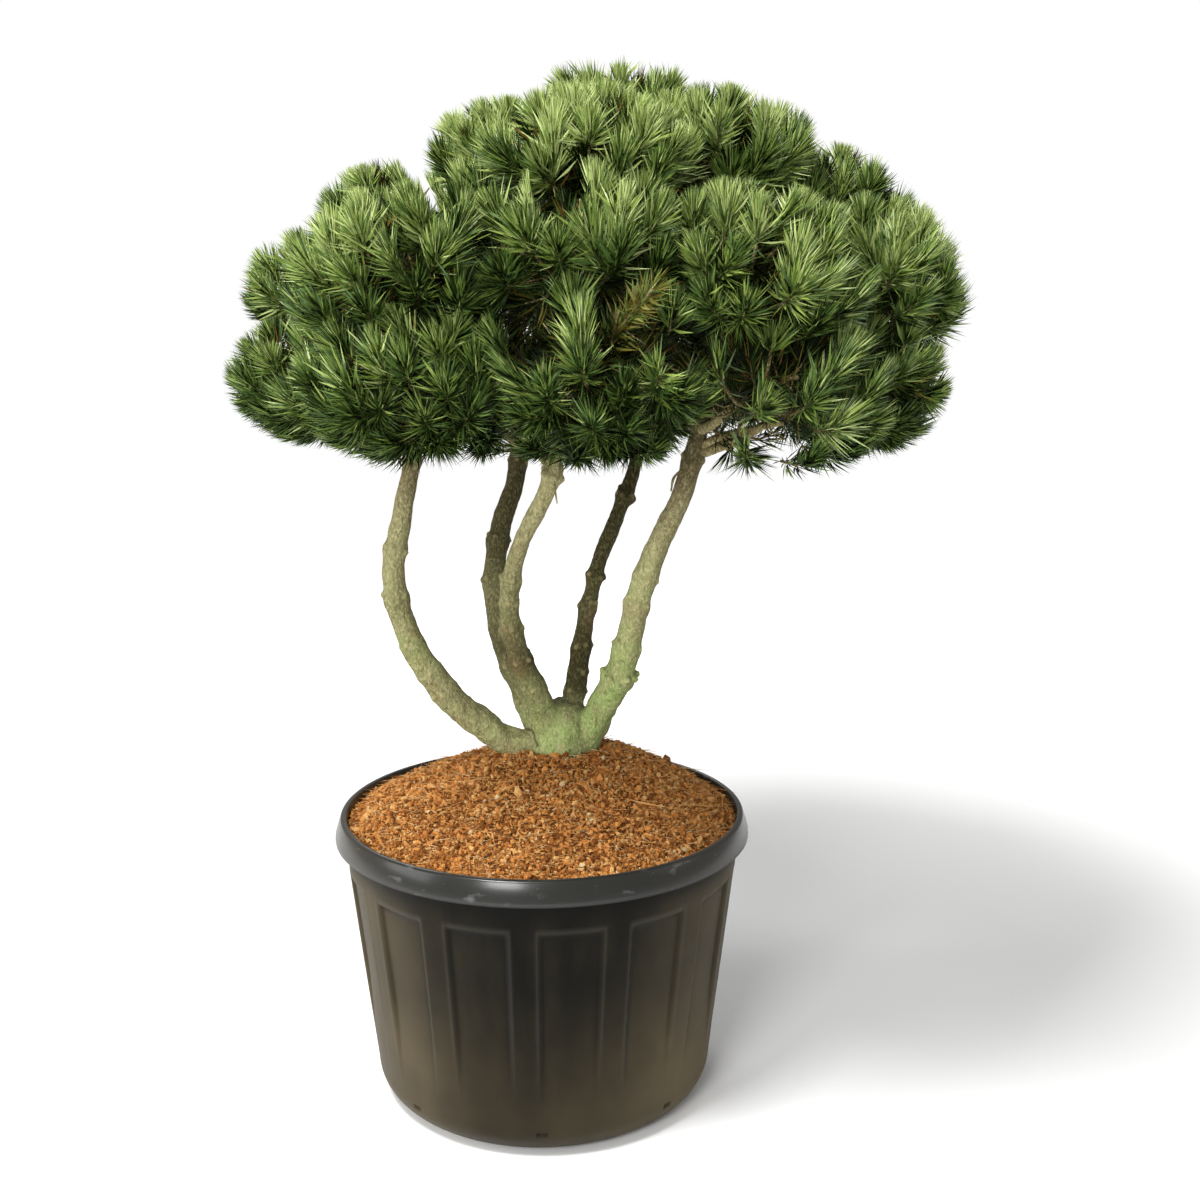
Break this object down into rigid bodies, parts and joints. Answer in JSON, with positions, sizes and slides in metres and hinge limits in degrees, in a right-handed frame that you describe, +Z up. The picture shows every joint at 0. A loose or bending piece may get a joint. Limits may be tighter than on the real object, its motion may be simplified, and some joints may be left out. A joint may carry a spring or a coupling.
{
  "type": "multi-stemmed mugo pine in a round nursery pot",
  "caption": "Mugo pine with bare curved stems under a clipped dome of needle foliage, standing in a large round black plastic nursery pot filled with mulch.",
  "frame": {"origin": "centre of the pot's flat underside, on the surface that the pot stands on", "axes": "+Z up; +Y towards the back of the plant, away from the side with the long left-hand stem; +X to the right, towards the taller side of the crown"},
  "size_m": [1.2136, 1.1702, 1.8119],
  "materials": {
    "pot": "black moulded plastic, satin, a little dusty",
    "soil": "orange-brown bark crumbs and fibres, matt",
    "bark": "olive to grey-brown bark with rough whorl scars",
    "needles": "fresh green pine needles, slightly waxy"
  },
  "bodies": {
    "root": {"pot": "pot", "soil": "soil", "root_crown": "bark", "stem_left_lower": "bark", "stem_left_upper": "bark", "stem_back_lower": "bark", "stem_back_upper": "bark", "stem_front_lower": "bark", "stem_front_upper": "bark", "stem_slim_lower": "bark", "stem_slim_upper": "bark", "stem_right_lower": "bark", "stem_right_upper": "bark", "bough_low_left": "bark", "bough_mid_left": "bark", "bough_low_back_left": "bark", "bough_low_front_left": "bark", "bough_mid_front_left": "bark", "bough_low_front": "bark", "bough_mid_front": "bark", "bough_low_back": "bark", "bough_mid_back_left": "bark", "bough_mid_back": "bark", "bough_high_back": "bark", "bough_high_front_left": "bark", "bough_low_back_right": "bark", "bough_mid_back_right": "bark", "bough_high_back_right": "bark", "bough_low_right": "bark", "bough_low_front_right": "bark", "bough_mid_front_right": "bark", "bough_mid_right": "bark", "bough_high_right": "bark", "needles_low_left": "needles", "needles_low_front_left": "needles", "needles_low_front": "needles", "needles_low_front_right": "needles", "needles_low_right": "needles", "needles_low_back_right": "needles", "needles_low_back": "needles", "needles_low_back_left": "needles", "needles_mid_left": "needles", "needles_mid_front_left": "needles", "needles_mid_front": "needles", "needles_mid_front_right": "needles", "needles_mid_right": "needles", "needles_mid_back_right": "needles", "needles_mid_back": "needles", "needles_mid_back_left": "needles", "needles_high_left": "needles", "needles_high_front_left": "needles", "needles_high_front": "needles", "needles_high_right": "needles", "needles_high_back_right": "needles", "needles_high_back": "needles", "needles_top_left": "needles", "needles_top_middle": "needles", "needles_top_right": "needles"}
  },
  "joints": []
}
